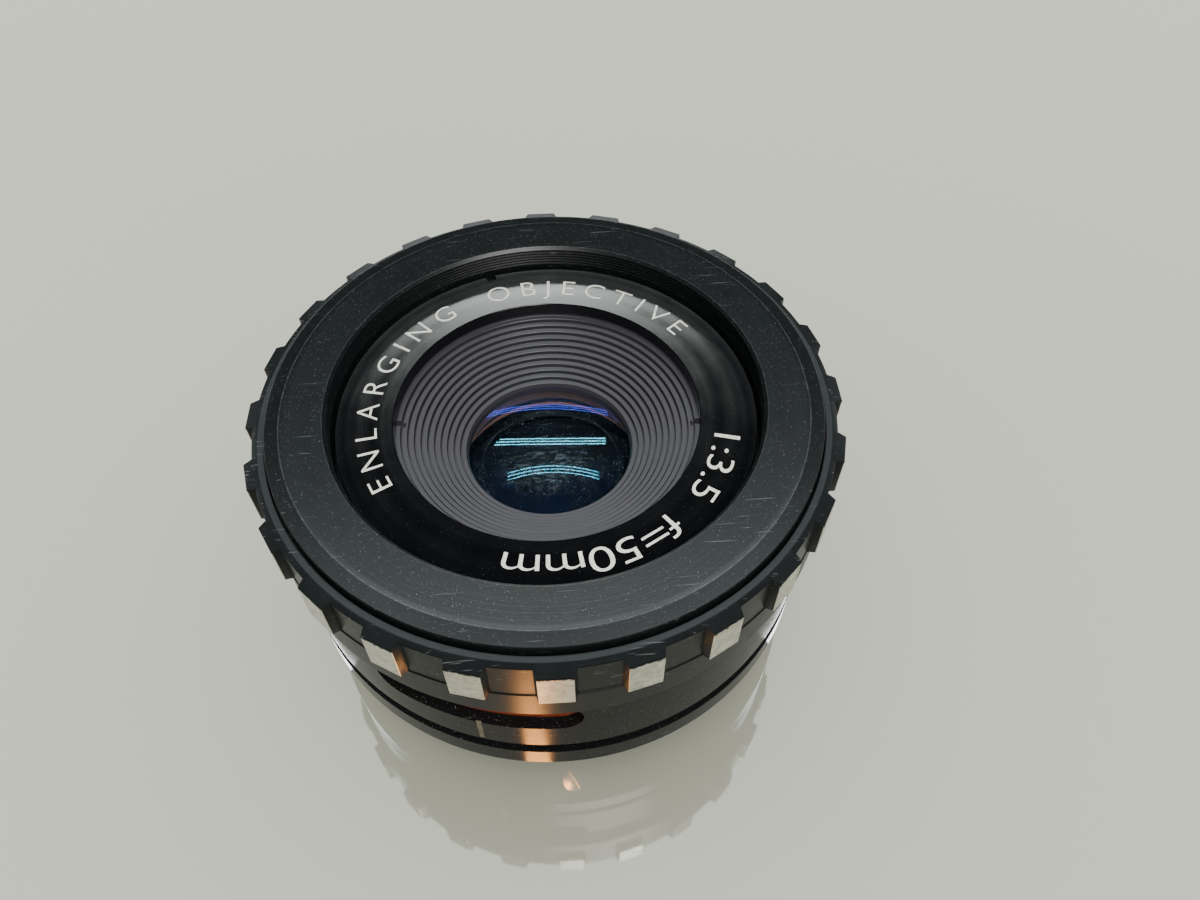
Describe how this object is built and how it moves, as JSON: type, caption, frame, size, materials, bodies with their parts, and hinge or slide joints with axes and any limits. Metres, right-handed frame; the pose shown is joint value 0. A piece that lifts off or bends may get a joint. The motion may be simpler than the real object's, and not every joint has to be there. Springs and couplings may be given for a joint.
{
  "type": "enlarging lens",
  "caption": "Screw-mount photographic enlarging lens with a toothed aperture ring, a red scale window, a ridged cone round the coated front glass and a bladed iris.",
  "frame": {"origin": "centre of the rear rim of the mount thread, on the optical axis", "axes": "+Z along the optical axis towards the front of the lens, -Y towards the side with the index line and the red scale window"},
  "size_m": [0.05, 0.05, 0.0265],
  "materials": {
    "black_anodised": "black anodised, satin, worn at the edges",
    "satin_black": "deep satin black",
    "baffle_grey": "fine turned ridges, dark mauve grey",
    "coated_glass": "polished, blue to purple coating",
    "blade_steel": "blackened spring steel",
    "bright_steel": "turned steel",
    "brass": "turned brass",
    "red_plastic": "deep red translucent plastic",
    "white_paint": "off-white engraving paint"
  },
  "bodies": {
    "housing": {"mount_barrel": "black_anodised", "body_shell": "black_anodised", "core_tube": "black_anodised", "front_plate": "black_anodised", "name_ring": "satin_black", "cone_baffle": "baffle_grey", "front_cell": "satin_black", "front_element": "coated_glass", "element_spacer": "satin_black", "middle_element": "coated_glass", "rear_cell": "satin_black", "rear_element": "coated_glass", "rear_retaining_ring": "satin_black", "iris_base_plate": "satin_black", "cam_retaining_ring": "satin_black", "scale_window": "red_plastic", "index_mark": "white_paint", "click_ball": "bright_steel", "click_leaf_spring": "bright_steel", "leaf_spring_screw": "bright_steel", "flange_screw_1": "bright_steel", "flange_screw_2": "bright_steel", "flange_screw_3": "bright_steel", "cell_screw_1": "bright_steel", "cell_screw_2": "bright_steel", "cell_screw_3": "bright_steel"},
    "aperture_ring": {"aperture_ring": "black_anodised", "scale_drum": "satin_black", "drive_screw": "bright_steel", "iris_cam_ring": "brass"},
    "blade_1": {"iris_blade_1": "blade_steel"},
    "blade_2": {"iris_blade_2": "blade_steel"},
    "blade_3": {"iris_blade_3": "blade_steel"},
    "blade_4": {"iris_blade_4": "blade_steel"},
    "blade_5": {"iris_blade_5": "blade_steel"}
  },
  "joints": [
    {"name": "aperture_turn", "type": "hinge", "parent": "housing", "child": "aperture_ring", "pos_m": [0, 0, 0.0213], "axis": [0, 0, 1], "range_deg": [0, 65]},
    {"name": "blade_1_swing", "type": "hinge", "parent": "housing", "child": "blade_1", "pos_m": [0.0138, 0, 0.01011], "axis": [0, 0, 1], "range_deg": [0, 28]},
    {"name": "blade_2_swing", "type": "hinge", "parent": "housing", "child": "blade_2", "pos_m": [0.00426, 0.01312, 0.01045], "axis": [0, 0, 1], "range_deg": [0, 28]},
    {"name": "blade_3_swing", "type": "hinge", "parent": "housing", "child": "blade_3", "pos_m": [-0.01116, 0.00811, 0.01079], "axis": [0, 0, 1], "range_deg": [0, 28]},
    {"name": "blade_4_swing", "type": "hinge", "parent": "housing", "child": "blade_4", "pos_m": [-0.01116, -0.00811, 0.01113], "axis": [0, 0, 1], "range_deg": [0, 28]},
    {"name": "blade_5_swing", "type": "hinge", "parent": "housing", "child": "blade_5", "pos_m": [0.00426, -0.01312, 0.01147], "axis": [0, 0, 1], "range_deg": [0, 28]}
  ],
  "couplings": [
    {"joint": "blade_1_swing", "follows": "aperture_turn", "ratio": 0.43077},
    {"joint": "blade_2_swing", "follows": "aperture_turn", "ratio": 0.43077},
    {"joint": "blade_3_swing", "follows": "aperture_turn", "ratio": 0.43077},
    {"joint": "blade_4_swing", "follows": "aperture_turn", "ratio": 0.43077},
    {"joint": "blade_5_swing", "follows": "aperture_turn", "ratio": 0.43077}
  ]
}
